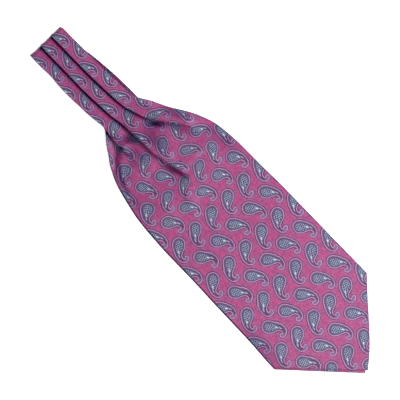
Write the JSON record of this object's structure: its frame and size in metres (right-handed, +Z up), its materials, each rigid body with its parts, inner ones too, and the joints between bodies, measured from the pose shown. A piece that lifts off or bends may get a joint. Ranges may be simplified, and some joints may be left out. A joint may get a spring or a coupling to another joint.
{
  "type": "folded silk cravat",
  "caption": "Silk day cravat with a pleated neckband and wide pointed blades, folded in two and lying flat.",
  "frame": {"origin": "centre of the folded cravat's length and width, on the surface it lies on", "axes": "+X from the neckband's fold towards the blade's point, +Y across it, +Z up"},
  "size_m": [0.574, 0.1673, 0.0125],
  "materials": {
    "silk": "woven paisley silk, satin sheen"
  },
  "bodies": {
    "root": {"blade_front": "silk", "neckband_front": "silk", "blade_under": "silk", "neckband_under": "silk"}
  },
  "joints": []
}
